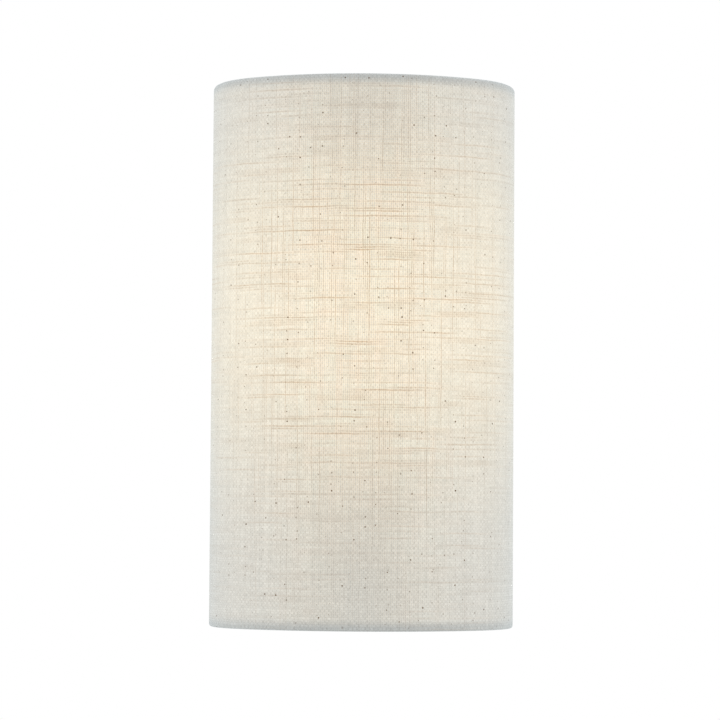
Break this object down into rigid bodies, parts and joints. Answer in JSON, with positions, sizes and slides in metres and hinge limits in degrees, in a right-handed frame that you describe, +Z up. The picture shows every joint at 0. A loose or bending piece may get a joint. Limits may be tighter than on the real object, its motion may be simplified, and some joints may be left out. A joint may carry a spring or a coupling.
{
  "type": "fabric shade wall light",
  "caption": "Wall light with a bow-fronted linen shade, open above and below, that hooks over a wall box with an upright screw-cap lamp.",
  "frame": {"origin": "middle of the wall strap's two screw slots, on the wall plane, level with the middle of the shade", "axes": "+Z up, +Y into the wall, -Y out into the room, +X to the right of someone facing the light"},
  "size_m": [0.168, 0.09, 0.3],
  "materials": {
    "linen": "natural slub linen, matte",
    "liner": "white styrene sheet bonded to the cloth",
    "frame_wire": "steel wire, white powder coat",
    "box_paint": "pressed steel, satin white powder coat",
    "zinc_steel": "steel, bright zinc plate",
    "screw_steel": "steel, bright zinc plate",
    "brass": "plain brass",
    "holder_plastic": "white moulded thermoplastic, satin",
    "insert_ceramic": "unglazed white steatite",
    "grommet_rubber": "black rubber",
    "block_nylon": "natural nylon",
    "wire_brown": "brown PVC insulation",
    "wire_blue": "blue PVC insulation",
    "wire_earth": "green and yellow PVC insulation",
    "tinned_brass": "tin-plated brass",
    "opal": "opal polycarbonate, satin",
    "lamp_white": "white thermoplastic lamp collar",
    "lamp_nickel": "nickel-plated brass lamp cap",
    "lamp_black": "black insulating ring",
    "board": "aluminium board with white mask",
    "chip": "yellow phosphor"
  },
  "bodies": {
    "wall_unit": {"wall_strap": "zinc_steel", "wall_box": "box_paint", "box_screws": "screw_steel", "hook_bracket": "zinc_steel", "hook_rivets": "screw_steel", "lamp_bracket": "zinc_steel", "bracket_rivets": "screw_steel", "threaded_tube": "zinc_steel", "lock_washer": "screw_steel", "tube_nut": "brass", "holder_cap": "holder_plastic", "holder_skirt": "holder_plastic", "holder_insert": "insert_ceramic", "thread_shell": "brass", "centre_contact": "brass", "holder_terminals": "brass", "wire_grommet": "grommet_rubber", "terminal_block": "block_nylon", "terminal_tubes": "brass", "terminal_screws": "screw_steel", "block_screw": "screw_steel", "live_wire": "wire_brown", "neutral_wire": "wire_blue", "earth_wire": "wire_earth", "earth_tag": "tinned_brass", "earth_screw": "screw_steel"},
    "shade": {"fabric_cover": "linen", "shade_liner": "liner", "top_ring": "frame_wire", "bottom_ring": "frame_wire", "upright_left": "frame_wire", "upright_right": "frame_wire", "hanger_wire": "frame_wire"},
    "lamp": {"lamp_globe": "opal", "lamp_collar": "lamp_white", "lamp_cap": "lamp_nickel", "lamp_insulator": "lamp_black", "lamp_contact": "lamp_nickel", "led_board": "board", "led_chips": "chip"}
  },
  "joints": [
    {"name": "shade_lift", "type": "slide", "parent": "wall_unit", "child": "shade", "axis": [0, 0, 1], "range_m": [0, 0.27]},
    {"name": "lamp_turn", "type": "hinge", "parent": "wall_unit", "child": "lamp", "pos_m": [0, -0.05, 0], "axis": [0, 0, 1], "range_deg": [0, 1080]}
  ]
}
